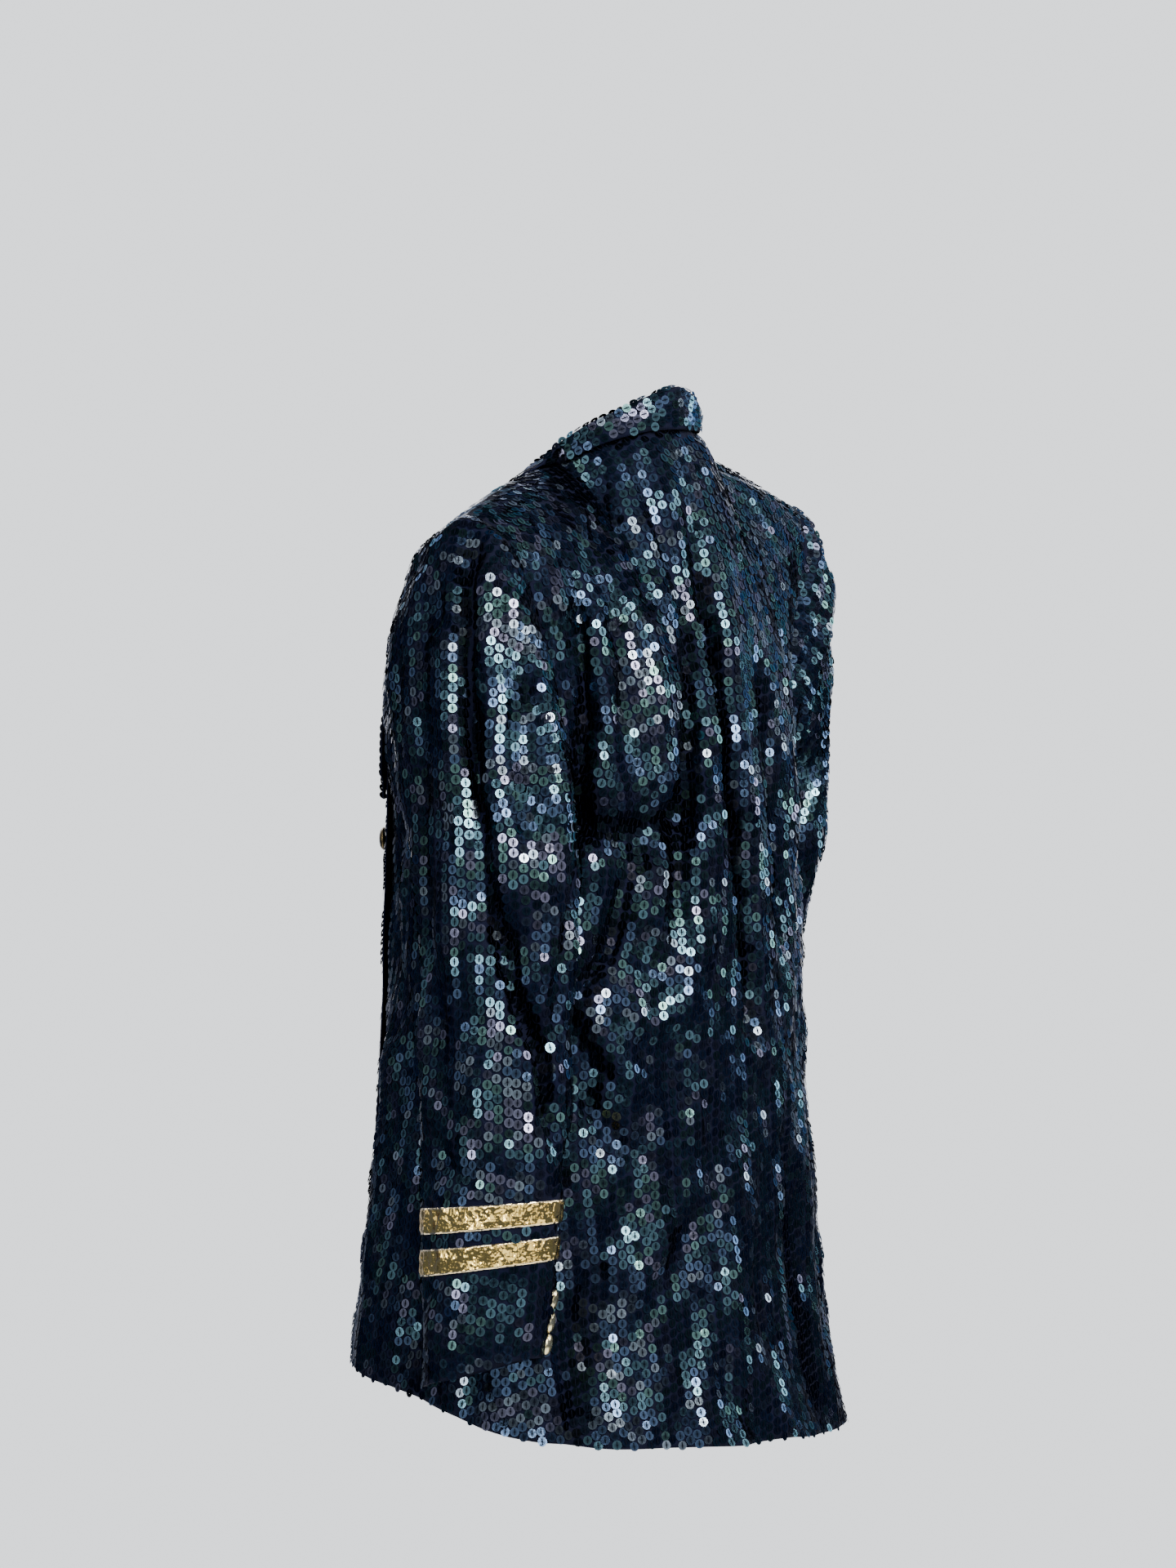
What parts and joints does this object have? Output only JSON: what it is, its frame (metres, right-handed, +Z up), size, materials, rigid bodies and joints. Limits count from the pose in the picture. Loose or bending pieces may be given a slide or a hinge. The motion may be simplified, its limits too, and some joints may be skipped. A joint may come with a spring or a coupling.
{
  "type": "sequin blazer",
  "caption": "Long double-breasted blazer in dark navy sequins, with a fold-over collar, peaked lapels, gold sleeve stripes and gold buttons, in its worn hollow form.",
  "frame": {"origin": "inside the neck, level with the neck end of the shoulder seams, where the wearer's neck and shoulders carry the garment", "axes": "+Z up, the wearer faces -Y, +X is the wearer's left"},
  "size_m": [0.5586, 0.358, 0.8088],
  "materials": {
    "sequin_cloth": "glossy sequins on net",
    "gold_lame": "metallic ribbon",
    "gold_metal": "polished"
  },
  "bodies": {
    "root": {"back": "sequin_cloth", "front_left": "sequin_cloth", "front_right": "sequin_cloth", "sleeve_left": "sequin_cloth", "sleeve_right": "sequin_cloth", "collar": "sequin_cloth", "lapel_left": "sequin_cloth", "lapel_right": "sequin_cloth", "stripe_left_upper": "gold_lame", "stripe_left_lower": "gold_lame", "stripe_right_upper": "gold_lame", "stripe_right_lower": "gold_lame", "cuff_button_left_1": "gold_metal", "cuff_button_left_2": "gold_metal", "cuff_button_left_3": "gold_metal", "cuff_button_right_1": "gold_metal", "cuff_button_right_2": "gold_metal", "cuff_button_right_3": "gold_metal", "front_button_left": "gold_metal", "front_button_right": "gold_metal"}
  },
  "joints": []
}
